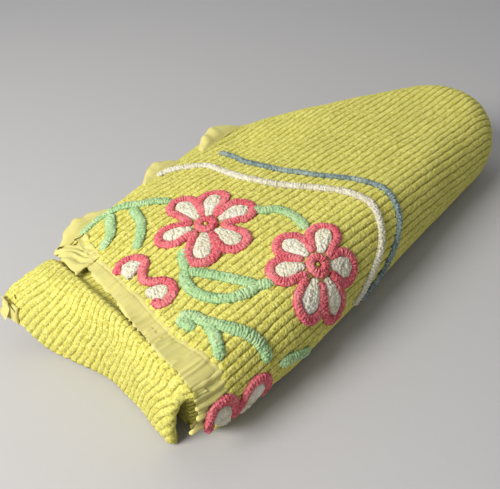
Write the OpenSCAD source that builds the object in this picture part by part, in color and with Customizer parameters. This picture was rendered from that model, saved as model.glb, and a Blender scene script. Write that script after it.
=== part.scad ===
// A tufted cotton bedspread folded into a long bundle and laid flat. Its outer layer wraps
// over the top, the right side and the far end. A plain hem crosses the near end, and a
// lower panel hangs down from under that hem. Coloured tufted lines draw flowers, vines,
// a leaf and two scallops on the outer layer.
//
// X runs along the bundle towards its far fold, Y across it towards the open side, Z up.
// Cloth coordinates: "along" follows the tufted ribs, "across" is at right angles to them,
// both in millimetres on the outer layer as if it lay flat.

/* [Bundle] */
// Height of the crown of the bundle
crown_height = 128; // [110:1:150]
// Height at which the rounded sides stand out furthest
widest_height = 56; // [45:1:60]
// How far the rounded sides stand out beyond the flat of the top
side_bulge = 55; // [45:1:62]
// How much further the open side stands out
open_spread = 14; // [0:1:18]
// How much less the right side stands out
right_trim = 5; // [0:1:8]
// Radius of the flat of the top beyond the corner centres
corner_radius = 45; // [30:1:60]
// Angle between the tufted ribs and the length of the bundle
rib_turn = 14.5; // [0:0.5:20]
// How much lower the top lies at the near end
near_drop = 20; // [0:1:30]
// Fall of the top towards the open side, as a slope
left_slope = 0.16; // [0:0.01:0.25]

/* [Cloth] */
// Thickness of one layer of tufted cloth
layer_thick = 5; // [3:0.5:8]
// Thickness of the plain hems
hem_thick = 3; // [1.5:0.5:4]
// Width of the hem across the near end
hem_width = 35; // [25:1:50]

/* [Tufted lines] */
// Width of a tufted line
line_width = 11; // [7:1:14]
// Height of a tufted line above the cloth
line_height = 6; // [3:0.5:8]
// Distance from a flower's middle to the outside of its petals
flower_radius = 70; // [55:1:80]

/* [Hidden] */
// Folded packs inside the outer layer
inner_folds = 8;

// Corner centres of the plan, anticlockwise from the far right, and the cloth's origin
plan_corners = [[263.5, -105.3], [48.5, 80.7], [-486.5, 80.7], [-486.5, -7.3], [-206.5, -67.3]];
cloth_origin = [-286.5, 142.7];
rib_dir = [cos(rib_turn), -sin(rib_turn)];
across_dir = [sin(rib_turn), cos(rib_turn)];

// Where the near drop is deepest and how far it spreads, and where the two side slopes begin
drop_at = -336.5;
drop_spread = 120;
slope_from = 12.7;
right_slope = 0.1;
right_from = -97.3;

// Where the open side ends its wrap and where the closed sides end theirs, in degrees
open_wrap = 62;
closed_wrap = 150;
gap = 0.4;
hem_start = 8;
hem_end = hem_start + hem_width;
far_reach = 900;
// Where the plan reaches furthest across, and the margin kept from its two extreme rows
peak_along = 330;
row_margin = 4;

ground_yellow = "#d9d45f";
hem_yellow = "#ddd98a";
line_pink = "#e8607c";
line_white = "#eeeadb";
line_green = "#8fd0a0";
line_blue = "#7f9fb0";

// ---- the shape of the bundle ----

function mix(p, q, f) = p + (q - p) * f;
function clamp(v, lo, hi) = min(max(v, lo), hi);
function smooth(v) = let (s = clamp(v, 0, 1)) s * s * (3 - 2 * s);

// Height of the top over a point of the plan
function top_height(p) =
    crown_height - near_drop * exp(-pow((p.x - drop_at) / drop_spread, 2))
    - left_slope * max(p.y - slope_from, 0) - right_slope * max(right_from - p.y, 0);

function unrolled(a, b) = cloth_origin + a * rib_dir + b * across_dir;

function closest_on_edge(c, p, q) =
    p + (q - p) * clamp((c - p) * (q - p) / ((q - p) * (q - p)), 0, 1);

function inside_plan(c) = min([for (i = [0:4])
    let (p = plan_corners[i], e = plan_corners[(i + 1) % 5] - p)
    e.x * (c.y - p.y) - e.y * (c.x - p.x)]) >= 0;

// The closest point of the core of the plan
function core_point(c) = inside_plan(c) ? c :
    let (found = [for (i = [0:4]) closest_on_edge(c, plan_corners[i], plan_corners[(i + 1) % 5])],
         far = [for (p = found) norm(c - p)],
         least = min(far))
    found[[for (i = [0:4]) if (far[i] == least) i][0]];

// How far a side stands out in an outward direction
function bulge_at(n) = side_bulge + open_spread * pow(max(n.y, 0), 2) - right_trim * max(-n.y, 0);

// A point of the wrapped cloth: [position, outward normal, wrap angle, direction in plan]
function wrap(c) =
    let (k = core_point(c),
         d = norm(c - k),
         n = d > 0.001 ? (c - k) / d : [0, 0],
         edge = k + n * min(d, corner_radius),
         rise = top_height(edge) - widest_height,
         bulge = bulge_at(n),
         turn = clamp(max(d - corner_radius, 0) / ((bulge + rise) / 2) * 180 / PI, 0, 180),
         plan = edge + n * bulge * sin(turn),
         z = turn < 90 ? widest_height + rise * cos(turn) : widest_height * (1 + cos(turn)))
    [[plan.x, plan.y, z], [n.x * sin(turn), n.y * sin(turn), cos(turn)], turn, n];

// A point at a depth under the outer face, or above it where the depth is negative
function cloth_point(a, b, depth = 0) =
    let (w = wrap(unrolled(a, b)), q = w[0] - w[1] * depth) [q.x, q.y, max(q.z, 0.2)];

// How far the outer layer reaches round its edge in an outward direction
function wrap_limit(n) = mix(closed_wrap, open_wrap, smooth((n.y - 0.8) / 0.17));

// ---- rows of points ----

// The last step along a row, from inside to outside, at which a test still holds
function last_inside(test, b, from, to, steps = 16) =
    steps == 0 ? from :
    let (middle = (from + to) / 2)
    test(middle, b) ? last_inside(test, b, middle, to, steps - 1)
                    : last_inside(test, b, from, middle, steps - 1);

function last_row(test, along_at, from, to, steps = 16) =
    steps == 0 ? from :
    let (middle = (from + to) / 2)
    test(along_at(middle), middle) ? last_row(test, along_at, middle, to, steps - 1)
                                   : last_row(test, along_at, from, middle, steps - 1);

// Rows of [along, across] that fill a rounded region cut off at start(across)
function region_rows(test, start, rows, columns) =
    let (low = last_row(test, start, -150, -600) + row_margin,
         high = last_row(test, function(b) peak_along, -100, 300) - row_margin)
    [for (j = [0:rows])
        let (b = mix(low, high, j / rows),
             seed = max(start(b), mix(start(low), peak_along, j / rows)),
             enter = test(start(b), b) ? start(b) : last_inside(test, b, seed, start(b)),
             leave = last_inside(test, b, seed, far_reach))
        [for (i = [0:columns]) [mix(enter, leave, i / columns), b]]];

// Rows of [along, across] over a plain rectangle
function band_rows(a0, a1, b0, b1, rows, columns) =
    [for (j = [0:rows]) [for (i = [0:columns]) [mix(a0, a1, i / columns), mix(b0, b1, j / rows)]]];

// A closed solid between two grids of points, the first of which is the upper or outer one
module grid_solid(upper, lower) {
    rows = len(upper) - 1;
    columns = len(upper[0]) - 1;
    width = columns + 1;
    half = (rows + 1) * width;
    function at(j, i) = j * width + i;
    rim = concat([for (i = [0:columns - 1]) at(0, i)], [for (j = [0:rows - 1]) at(j, columns)],
                 [for (i = [columns:-1:1]) at(rows, i)], [for (j = [rows:-1:1]) at(j, 0)]);
    points = concat([for (r = upper) for (p = r) p], [for (r = lower) for (p = r) p]);
    faces = concat(
        [for (j = [0:rows - 1]) for (i = [0:columns - 1]) each [
            [at(j, i), at(j + 1, i), at(j + 1, i + 1)], [at(j, i), at(j + 1, i + 1), at(j, i + 1)]]],
        [for (j = [0:rows - 1]) for (i = [0:columns - 1]) each [
            [half + at(j, i), half + at(j + 1, i + 1), half + at(j + 1, i)],
            [half + at(j, i), half + at(j, i + 1), half + at(j + 1, i + 1)]]],
        [for (k = [0:len(rim) - 1]) let (p = rim[k], q = rim[(k + 1) % len(rim)]) each [
            [p, q, half + q], [p, half + q, half + p]]]);
    polyhedron(points, faces);
}

// A sheet of the outer layer's wrap, between two depths
module wrapped_sheet(rows, top_depth, bottom_depth) {
    grid_solid([for (r = rows) [for (p = r) cloth_point(p.x, p.y, top_depth)]],
               [for (r = rows) [for (p = r) cloth_point(p.x, p.y, bottom_depth)]]);
}

// ---- layers ----

// The sheet that lies on the floor reaches a little beyond the flat of the top
floor_reach = 20;
floor_start = 12;

module underside_layer() {
    test = function(a, b) let (c = unrolled(a, b)) norm(c - core_point(c)) <= corner_radius + floor_reach;
    rows = region_rows(test, function(b) floor_start, 9, 9);
    color(ground_yellow)
        grid_solid([for (r = rows) [for (p = r) concat(unrolled(p.x, p.y), [layer_thick])]],
                   [for (r = rows) [for (p = r) concat(unrolled(p.x, p.y), [0])]]);
}

// How far a pack may stand out beyond the flat of the top at a height
function room_at(z, rise, n) =
    (bulge_at(n) - layer_thick - gap) * sqrt(max(1 - pow(z > widest_height
        ? (z - widest_height) / (rise - layer_thick) : (widest_height - z) / widest_height, 2), 0));

function fold_height(p, f) = mix(layer_thick + gap, top_height(p) - layer_thick - gap, f);

// The packs end unevenly, a little inside the outer layer. At the right side of the near end
// they stop short, which leaves the dark opening beside the lower panel.
pack_inset = 3;

module inner_fold(k) {
    f0 = (k - 1) / inner_folds;
    f1 = k / inner_folds;
    test = function(a, b)
        let (c = unrolled(a, b), p = core_point(c), d = norm(c - p),
             n = d > 0.001 ? (c - p) / d : [0, 0],
             edge = p + n * min(d, corner_radius),
             rise = top_height(edge) - widest_height,
             room = min(room_at(fold_height(edge, f0), rise, n), room_at(fold_height(edge, f1), rise, n)))
        d <= corner_radius + room - pack_inset - 2 * sin(97 * k);
    start = function(b) mix(k == inner_folds ? 36 : 14, 62, smooth((-238 - b) / 12));
    rows = region_rows(test, start, 11, 12);
    place = function(p, f, shift)
        let (c = unrolled(p.x, p.y), q = core_point(c), d = norm(c - q),
             edge = d > corner_radius ? q + (c - q) / d * corner_radius : c)
        [c.x, c.y, fold_height(edge, f) + shift];
    color(ground_yellow)
        grid_solid([for (r = rows) [for (p = r) place(p, f1, -gap / 2)]],
                   [for (r = rows) [for (p = r) place(p, f0, gap / 2)]]);
}

module outer_layer() {
    test = function(a, b) let (w = wrap(unrolled(a, b))) w[2] <= wrap_limit(w[3]);
    color(ground_yellow)
        wrapped_sheet(region_rows(test, function(b) hem_end, 34, 38), 0, layer_thick);
}

// ---- hems across the near end ----

module near_hem() {
    color(hem_yellow)
        wrapped_sheet(band_rows(hem_start, hem_end - gap, -268, -25, 16, 3), 0, hem_thick);
}

module hem_return() {
    color(hem_yellow)
        wrapped_sheet(band_rows(hem_start, hem_end - gap, -316, -268 - gap, 6, 3), 0, hem_thick);
}

module hem_gather() {
    rows = [for (j = [0:5]) [for (i = [0:3])
        [mix(14, hem_end - gap, i / 3) + 4 * sin(36 * j), mix(-24.5, 33, j / 5)]]];
    color(hem_yellow) wrapped_sheet(rows, -1, hem_thick);
}

// ---- the lower panel ----

// The panel hangs over the near end in a quarter of an ellipse. Towards the open side it
// reaches out further and its foot lifts off the floor.
panel_start = 6;
panel_tuck = 28;
panel_right = -272;
panel_split = 8;
panel_left = 42;
panel_thick = 9;
panel_slide = 28;

function panel_top(b) = cloth_point(20, b, hem_thick + 1).z;
function panel_reach(b) = 22 + 49 * smooth((b + 150) / 190);
function panel_foot(b) = 3 + 40 * smooth((b + 50) / 90);

// A point of the panel. Step s runs from -1, tucked under the hem, to 1 at the foot.
function panel_point(s, b, depth) =
    let (turn = clamp(s, 0, 1) * 90,
         foot = panel_foot(b),
         a = s < 0 ? panel_start - s * panel_tuck : panel_start - (panel_reach(b) - depth) * sin(turn),
         z = foot + (panel_top(b) - depth - foot) * cos(turn),
         slide = panel_slide * sin(turn) * clamp((-100 - b) / 172, 0, 1),
         c = unrolled(a, b + slide))
    [c.x, c.y, z];

module panel_sheet(b0, b1, steps, rows, top_depth, bottom_depth) {
    function grid(depth) =
        [for (j = [0:rows]) [for (s = steps) panel_point(s, mix(b0, b1, j / rows), depth)]];
    grid_solid(grid(top_depth), grid(bottom_depth));
}

whole_panel = [1, 0.88, 0.75, 0.6, 0.45, 0.3, 0.15, 0, -0.5, -1];

module lower_panel() {
    color(ground_yellow)
        panel_sheet(panel_right, panel_split - gap, whole_panel, 14, 0, panel_thick);
}

module left_pleat() {
    color(ground_yellow)
        panel_sheet(panel_split, panel_left, whole_panel, 3, 0, panel_thick);
}

module lower_panel_lining() {
    color(hem_yellow)
        panel_sheet(-70, panel_left, [1, 0.8, 0.6, 0.4], 6,
                    panel_thick + gap, panel_thick + gap + hem_thick);
}

// A turned-over hem corner on the end of the left pleat
module corner_tab() {
    color(hem_yellow)
        panel_sheet(panel_split + 2, panel_left - 1, [1, 0.87, 0.74], 2, -gap - hem_thick, -gap);
}

// ---- plain side hems at the open side ----

// Each is a soft fold that stands up from the outer layer and turns down again
module side_hem(from, to, low, lift) {
    rows = [for (j = [0:4]) [for (i = [0:8])
        let (f = i / 8, a = mix(from, to, f), high = lift * pow(sin(180 * f), 0.7))
        [a, low - 6 + 0.24 * (a - from) + j * (3.5 + 5 * sin(180 * f)),
         1 + gap + high * max(sin(180 * pow(j / 4, 0.8)), 0)]]];
    color(hem_yellow)
        grid_solid([for (r = rows) [for (p = r) cloth_point(p[0], p[1], -p[2] - hem_thick)]],
                   [for (r = rows) [for (p = r) cloth_point(p[0], p[1], -p[2])]]);
}

module side_hem_near() { side_hem(20, 108, 36, 16); }
module side_hem_middle() { side_hem(172, 238, 64, 12); }
module side_hem_far() { side_hem(278, 362, 72, 14); }

// ---- tufted lines ----

// Points on a smooth curve through a few chosen points
function curve_point(path, t) =
    let (last = len(path) - 1, i = clamp(floor(t), 0, last - 1), f = t - i,
         p0 = path[max(i - 1, 0)], p1 = path[i], p2 = path[i + 1], p3 = path[min(i + 2, last)])
    0.5 * (2 * p1 + (p2 - p0) * f + (2 * p0 - 5 * p1 + 4 * p2 - p3) * f * f
           + (3 * p1 - p0 - 3 * p2 + p3) * f * f * f);
function curve(path, steps) =
    [for (i = [0:steps]) curve_point(path, i * (len(path) - 1) / steps)];

line_section = [for (k = [0:6]) [cos(30 * k), sin(30 * k)]];

// A half-round tufted line laid on the cloth along a route of cloth coordinates
module tufted_line(route, closed = false, width = line_width) {
    count = len(route);
    sides = len(line_section);
    rings = [for (i = [0:count - 1])
        let (before = route[closed ? (i + count - 1) % count : max(i - 1, 0)],
             after = route[closed ? (i + 1) % count : min(i + 1, count - 1)],
             way = (after - before) / norm(after - before),
             side = [-way.y, way.x])
        [for (s = line_section)
            let (p = route[i] + side * s.x * width / 2)
            cloth_point(p.x, p.y, -gap - s.y * line_height)]];
    spans = closed ? count : count - 1;
    walls = [for (i = [0:spans - 1]) for (k = [0:sides - 1])
        let (j = (i + 1) % count, m = (k + 1) % sides) each [
        [i * sides + k, j * sides + k, j * sides + m], [i * sides + k, j * sides + m, i * sides + m]]];
    ends = closed ? [] : concat(
        [for (k = [1:sides - 2]) [0, k, k + 1]],
        [for (k = [1:sides - 2]) let (o = (count - 1) * sides) [o, o + k + 1, o + k]]);
    polyhedron([for (r = rings) for (p = r) p], concat(walls, ends));
}

// A flower has six petals in the directions given, each a rounded loop
petal_turns = [-16, 42, 90, 155, 225, 274];
petal_half = 17;
petal_reach = flower_radius - petal_half - line_width / 2;

// The outline runs round each petal's end and dips between neighbours
function flower_outline(centre, turns, steps = 12) =
    [for (k = [0:len(turns) - 1]) for (i = [0:steps - 1])
        let (turn = turns[k],
             a = mix(-118, 118, i / (steps - 1)),
             hub = centre + petal_reach * [cos(turn), sin(turn)])
        hub + petal_half * [cos(turn + a), sin(turn + a)]];

module petal(centre, turn, clear_of = 0) {
    along = [cos(turn), sin(turn)];
    side = [-along.y, along.x];
    rows = [for (j = [0:4]) [for (i = [0:6])
        let (f = i / 6, w = 8.5 * sqrt(max(sin(20 + 150 * f), 0)) * (0.55 + 0.45 * f),
             near = clear_of > 0 ? max(20, (clear_of - centre.x) / along.x) : 20)
        centre + along * mix(near, petal_reach + 9, f) + side * w * (j / 2 - 1)]];
    grid_solid([for (j = [0:4]) [for (p = rows[j])
                   cloth_point(p.x, p.y, -gap - (j == 0 || j == 4 ? 3 : 6))]],
               [for (j = [0:4]) [for (p = rows[j]) cloth_point(p.x, p.y, -gap)]]);
}

function circle_route(centre, radius, steps) =
    [for (i = [0:steps - 1]) centre + radius * [cos(360 * i / steps), sin(360 * i / steps)]];

flower_left = [159, -97];
flower_right = [208, -244];
flower_hem = [15, -116.5];
flower_side = [48, -362];

module flower_line(centre, turns) {
    color(line_pink) tufted_line(flower_outline(centre, turns), closed = true);
}

module flower_petals(centre, turns) {
    color(line_white) for (t = turns) petal(centre, t);
}

ring_radius = 11;
ring_width = 9;
module flower_ring(centre) {
    color(line_pink) tufted_line(circle_route(centre, ring_radius, 14), closed = true, width = ring_width);
}

dot_half = [3.5, 0];
module flower_centre(centre) {
    color(ground_yellow) tufted_line([centre - dot_half, centre, centre + dot_half], width = 6);
}

module flower_left_outline() { flower_line(flower_left, petal_turns); }
module flower_left_petals() { flower_petals(flower_left, petal_turns); }
module flower_left_ring() { flower_ring(flower_left); }
module flower_left_centre() { flower_centre(flower_left); }
module flower_right_outline() { flower_line(flower_right, petal_turns); }
module flower_right_petals() { flower_petals(flower_right, petal_turns); }
module flower_right_ring() { flower_ring(flower_right); }
module flower_right_centre() { flower_centre(flower_right); }

// A flower half hidden by the hem, and one that turns under the right side
hem_turns = [-37, 37];
side_turns = [50, 112];

module flower_hem_outline() {
    function arc(turn, from, to) = [for (i = [0:9])
        let (a = turn + mix(from, to, i / 9))
        flower_hem + petal_reach * [cos(turn), sin(turn)] + petal_half * [cos(a), sin(a)]];
    route = concat([[hem_end, -165]], arc(hem_turns[0], -60, 112), arc(hem_turns[1], -112, 70));
    color(line_pink) tufted_line([for (p = route) [max(p.x, hem_end + 7), p.y]]);
}

module flower_hem_petals() {
    color(line_white) for (t = hem_turns) petal(flower_hem, t, hem_end + 2);
}

module flower_side_outline() {
    color(line_pink) tufted_line(flower_outline(flower_side, side_turns));
}

module flower_side_petals() { flower_petals(flower_side, side_turns); }

module leaf_outline() {
    color(line_green)
        tufted_line(curve([[92, -146], [107, -164], [121, -190], [132, -218], [110, -216], [92, -202],
                           [82, -180], [83, -158]], 34), closed = true);
}

module leaf_stem() {
    color(line_green) tufted_line(curve([[113, -112], [104, -124], [95, -141]], 5));
    color(line_green) tufted_line(curve([[131, -217], [142, -224], [152, -229]], 4));
}

module vine_left() {
    color(line_green)
        tufted_line(curve([[163, -18], [150, 2], [132, 17], [108, 34], [80, 40], [53, 31]], 20));
}

module vine_left_branches() {
    color(line_green) {
        tufted_line(curve([[98, 30], [84, 8], [72, -8], [52, -20]], 11));
        tufted_line(curve([[122, 16], [117, -2], [112, -20], [96, -44], [78, -62]], 13));
    }
}

module vine_middle() {
    color(line_green)
        tufted_line(curve([[219, -113], [224, -127], [237, -138], [244, -156], [242, -176],
                           [235, -192]], 14));
}

module vine_lower() {
    color(line_green)
        tufted_line(curve([[51, -187], [60, -203], [66, -221], [77, -242], [90, -261], [97, -280],
                           [99, -300]], 22));
}

module vine_lower_branches() {
    color(line_green) {
        tufted_line(curve([[65, -219], [61, -234], [56, -248], [49, -263]], 6));
        tufted_line(curve([[46, -190], [48, -200], [49, -209], [53, -216]], 5));
    }
}

module vine_side() {
    color(line_green) tufted_line(curve([[112, -312], [136, -318], [168, -326]], 8));
}

// The two scallops cross the outer layer side by side, and the blue one is the narrower
blue_width = 9;

module scallop_white() {
    color(line_white)
        tufted_line(curve([[194, 66], [228, 50], [252, 22], [254, -20], [258, -57], [272, -93],
                           [303, -135], [325, -175], [332, -205], [329, -231], [321, -254],
                           [307, -274], [288, -292], [262, -320]], 56));
}

module scallop_blue() {
    color(line_blue)
        tufted_line(curve([[288, 42], [293, 12], [291, -25], [298, -65], [316, -98], [342, -140],
                           [362, -178], [367, -208], [364, -240], [354, -262], [336, -282],
                           [312, -302], [284, -326]], 58), width = blue_width);
}

underside_layer();
for (k = [1:inner_folds]) inner_fold(k);
outer_layer();
near_hem();
hem_return();
hem_gather();
lower_panel();
lower_panel_lining();
left_pleat();
corner_tab();
side_hem_near();
side_hem_middle();
side_hem_far();
flower_left_outline();
flower_left_petals();
flower_left_ring();
flower_left_centre();
flower_right_outline();
flower_right_petals();
flower_right_ring();
flower_right_centre();
flower_hem_outline();
flower_hem_petals();
flower_side_outline();
flower_side_petals();
leaf_outline();
leaf_stem();
vine_left();
vine_left_branches();
vine_middle();
vine_lower();
vine_lower_branches();
vine_side();
scallop_white();
scallop_blue();
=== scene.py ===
import math

import bpy
import numpy as np
from mathutils import Matrix, Vector


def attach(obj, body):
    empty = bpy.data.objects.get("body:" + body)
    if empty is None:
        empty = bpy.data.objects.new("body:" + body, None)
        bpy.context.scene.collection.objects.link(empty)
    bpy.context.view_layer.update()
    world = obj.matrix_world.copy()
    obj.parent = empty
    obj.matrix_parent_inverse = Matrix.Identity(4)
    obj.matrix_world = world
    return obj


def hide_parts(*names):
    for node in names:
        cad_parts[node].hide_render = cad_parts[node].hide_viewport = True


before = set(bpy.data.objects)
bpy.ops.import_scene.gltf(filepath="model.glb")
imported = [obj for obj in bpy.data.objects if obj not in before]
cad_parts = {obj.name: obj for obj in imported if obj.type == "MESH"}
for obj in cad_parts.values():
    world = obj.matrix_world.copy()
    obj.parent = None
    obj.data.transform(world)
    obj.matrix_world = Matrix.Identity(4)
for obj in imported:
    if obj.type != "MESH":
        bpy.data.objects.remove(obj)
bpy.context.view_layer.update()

# A tufted cotton bedspread folded into a long bundle. Every cloth piece is made flat, in
# "along" and "across" the tufted ribs, and is then wrapped round the bundle.

print("bundle: shape of the wrapped cloth")

bundle = {
    "corners": [(0.2635, -0.1053), (0.0485, 0.0807), (-0.4865, 0.0807), (-0.4865, -0.0073),
                (-0.2065, -0.0673)],          # corner centres of the plan, anticlockwise
    "origin": (-0.2865, 0.1427),              # where along and across are both nought
    "ribTurn": math.radians(14.5),
    "cornerRadius": 0.045,
    "bulge": 0.055,                           # how far the rounded sides stand out
    "openSpread": 0.014,                      # further at the open side, and less at the right
    "rightTrim": 0.005,
    "widest": 0.056,                          # the height where they stand out furthest
    "crown": 0.128,
    "top": {"dip": 0.020, "dipAt": -0.3365, "dipSize": 0.12,      # lower at the near end
            "leftSlope": 0.16, "leftFrom": 0.0127, "rightSlope": 0.10, "rightFrom": -0.0973},
    "layerThick": 0.005,
    "hemThick": 0.003,
    "openWrap": math.radians(62),             # where the cloth ends at the open side
    "closedWrap": math.radians(150),
}
ribDir = np.array([math.cos(bundle["ribTurn"]), -math.sin(bundle["ribTurn"])])
acrossDir = np.array([math.sin(bundle["ribTurn"]), math.cos(bundle["ribTurn"])])


def smooth(v):
    s = np.clip(v, 0, 1)
    return s * s * (3 - 2 * s)


def unit(v):
    return v / np.maximum(np.linalg.norm(v, axis=-1, keepdims=True), 1e-12)


def scatter(i, j, seed):      # the same number from 0 to 1 each time for a place in a lattice
    h = (np.asarray(i, np.int64) * 73856093) ^ (np.asarray(j, np.int64) * 19349663) ^ (seed * 83492791)
    h = (h ^ (h >> 13)) * 1274126177 & 0x7FFFFFFF
    h = (h ^ (h >> 15)) * 668265263 & 0x7FFFFFFF
    return (h ^ (h >> 16)) % 100003 / 100003


def ripple(x, y, size, seed):      # smooth noise from -1 to 1, with lumps about that size
    x, y = np.asarray(x) / size, np.asarray(y) / size
    i, j = np.floor(x), np.floor(y)
    u, v = smooth(x - i), smooth(y - j)
    low = scatter(i, j, seed) * (1 - u) + scatter(i + 1, j, seed) * u
    high = scatter(i, j + 1, seed) * (1 - u) + scatter(i + 1, j + 1, seed) * u
    return 2 * (low * (1 - v) + high * v) - 1


def topHeight(p):
    x, y = p[..., 0], p[..., 1]
    top = bundle["top"]
    dip = top["dip"] * np.exp(-((x - top["dipAt"]) / top["dipSize"]) ** 2)
    left = top["leftSlope"] * np.maximum(y - top["leftFrom"], 0)
    right = top["rightSlope"] * np.maximum(top["rightFrom"] - y, 0)
    return bundle["crown"] - dip - left - right


def flatPoint(a, b):
    a, b = np.asarray(a)[..., None], np.asarray(b)[..., None]
    return np.array(bundle["origin"]) + a * ribDir + b * acrossDir


def planCore(c):      # the nearest point of the plan, the way out of it, and how far out c is
    corners = np.array(bundle["corners"])
    nearest = np.zeros(c.shape)
    least = np.full(c.shape[:-1], 9.0)
    inside = np.ones(c.shape[:-1], bool)
    for k in range(len(corners)):
        p, e = corners[k], corners[(k + 1) % len(corners)] - corners[k]
        t = np.clip(((c - p) @ e) / (e @ e), 0, 1)
        q = p + t[..., None] * e
        d = np.linalg.norm(c - q, axis=-1)
        closer = d < least
        least = np.where(closer, d, least)
        nearest = np.where(closer[..., None], q, nearest)
        inside &= e[0] * (c[..., 1] - p[1]) - e[1] * (c[..., 0] - p[0]) >= 0
    out = np.where(inside[..., None], 0, c - nearest)
    return np.where(inside[..., None], c, nearest), unit(out), np.where(inside, 0, least)


def bulgeAt(n):
    more = bundle["openSpread"] * np.maximum(n[..., 1], 0) ** 2
    less = bundle["rightTrim"] * np.maximum(-n[..., 1], 0)
    return bundle["bulge"] + more - less


def wrapCloth(a, b):      # points, outward normals, wrap angles and plan directions
    core, n, d = planCore(flatPoint(a, b))
    edge = core + n * np.minimum(d, bundle["cornerRadius"])[..., None]
    rise = topHeight(edge) - bundle["widest"]
    bulge = bulgeAt(n)
    half = (bulge + rise) / 2
    turn = np.clip(np.maximum(d - bundle["cornerRadius"], 0) / half, 0, math.pi)
    plan = edge + n * (bulge * np.sin(turn))[..., None]
    z = np.where(turn < math.pi / 2, bundle["widest"] + rise * np.cos(turn),
                 bundle["widest"] * (1 + np.cos(turn)))
    normal = np.concatenate([n * np.sin(turn)[..., None], np.cos(turn)[..., None]], -1)
    return np.concatenate([plan, z[..., None]], -1), normal, turn, n


slack = {"broad": 0.0032, "broadSize": 0.11, "puff": 0.0016, "puffSize": 0.042, "sink": 0.0022,
         "floorGap": 0.0008}      # no cloth point comes nearer to the floor than that


def outerFace(a, b, depth=0.0):      # the outer layer's face, as the cloth really lies
    p, n, turn, out = wrapCloth(a, b)
    lift = slack["broad"] * ripple(a, b, slack["broadSize"], 3)
    lift = lift + slack["puff"] * ripple(a, b, slack["puffSize"], 4) - slack["sink"]
    lift = lift * (1 - smooth((turn - 1.9) / 0.5))      # the cloth is pressed flat underneath
    return p + n * (lift - depth)[..., None], n


print("tools: meshes from grids of points")


def makePiece(name, points, faces, finish, facts):
    mesh = bpy.data.meshes.new(name)
    mesh.vertices.add(len(points))
    mesh.vertices.foreach_set("co", np.asarray(points, np.float32).ravel())
    faces = [np.asarray(f, np.int32) for f in faces]
    total = sum(f.size for f in faces)
    mesh.loops.add(total)
    mesh.loops.foreach_set("vertex_index", np.concatenate([f.ravel() for f in faces]))
    starts, at = [], 0
    for f in faces:
        starts.append(at + f.shape[1] * np.arange(len(f)))
        at += f.size
    starts = np.concatenate(starts).astype(np.int32)
    mesh.polygons.add(len(starts))
    mesh.polygons.foreach_set("loop_start", starts)
    mesh.polygons.foreach_set("use_smooth", np.full(len(starts), True))
    for key, values in facts.items():
        kind = "FLOAT" if np.ndim(values) == 1 else "FLOAT_VECTOR"
        field = "value" if kind == "FLOAT" else "vector"
        stored = mesh.attributes.new(key, kind, "POINT").data
        stored.foreach_set(field, np.asarray(values, np.float32).ravel())
    mesh.update(calc_edges=True)
    mesh.validate()
    mesh.materials.append(finish)
    piece = bpy.data.objects.new(name, mesh)
    bpy.context.collection.objects.link(piece)
    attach(piece, "root")
    return piece


def gridFaces(rows, columns, closedColumns=False):
    wide = columns if closedColumns else columns - 1
    j, i = np.meshgrid(np.arange(rows - 1), np.arange(wide), indexing="ij")
    k = (i + 1) % columns
    quads = np.stack([j * columns + i, j * columns + k, (j + 1) * columns + k, (j + 1) * columns + i], -1)
    return quads.reshape(-1, 4)


def rimmed(points, normals, coords, radius, sides, reach):
    # carries a grid on past its edges, round a half turn and back inside by reach
    turns = np.array([0.25, 0.5, 0.75, 1]) * math.pi * radius
    steps = np.concatenate([turns, turns[-1] + np.linspace(0, reach, 3)[1:]])
    rows, columns = points.shape[:2]

    def sideSteps(low, high, count):
        before = steps[::-1] if low else steps[:0]
        after = steps if high else steps[:0]
        extra = np.concatenate([before, np.zeros(count), after])
        sign = np.concatenate([-np.ones(len(before)), np.zeros(count), np.ones(len(after))])
        at = np.clip(np.arange(len(extra)) - len(before), 0, count - 1)
        return extra, sign, at

    extraJ, signJ, atJ = sideSteps(sides[0], sides[1], rows)
    extraI, signI, atI = sideSteps(sides[2], sides[3], columns)
    p, n, c = (v[np.ix_(atJ, atI)] for v in (points, normals, coords))

    def outward(grid):
        j = np.where((signJ < 0)[:, None, None], unit(grid[0] - grid[1])[atI][None], 0)
        j = j + np.where((signJ > 0)[:, None, None], unit(grid[-1] - grid[-2])[atI][None], 0)
        i = np.where((signI < 0)[None, :, None], unit(grid[:, 0] - grid[:, 1])[atJ][:, None], 0)
        i = i + np.where((signI > 0)[None, :, None], unit(grid[:, -1] - grid[:, -2])[atJ][:, None], 0)
        far = np.hypot(extraJ[:, None], extraI[None])
        way = unit(extraJ[:, None, None] * j + extraI[None, :, None] * i)
        return far, way

    far, way = outward(points)
    way = unit(way - n * (way * n).sum(-1, keepdims=True)) * (far > 0)[..., None]
    theta = np.minimum(far / radius, math.pi)
    back = np.maximum(far - math.pi * radius, 0)
    p = p + way * (radius * np.sin(theta) - back)[..., None] - n * (radius * (1 - np.cos(theta)))[..., None]
    n = n * np.cos(theta)[..., None] + way * np.sin(theta)[..., None]
    c = c + outward(coords)[1] * far[..., None]
    return p, n, c


def measureCut(coords):
    sideA, sideB = coords[1:, 1:] - coords[:-1, :-1], coords[1:, :-1] - coords[:-1, 1:]
    area = np.abs(sideA[..., 0] * sideB[..., 1] - sideA[..., 1] * sideB[..., 0]).sum() / 2


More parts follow.
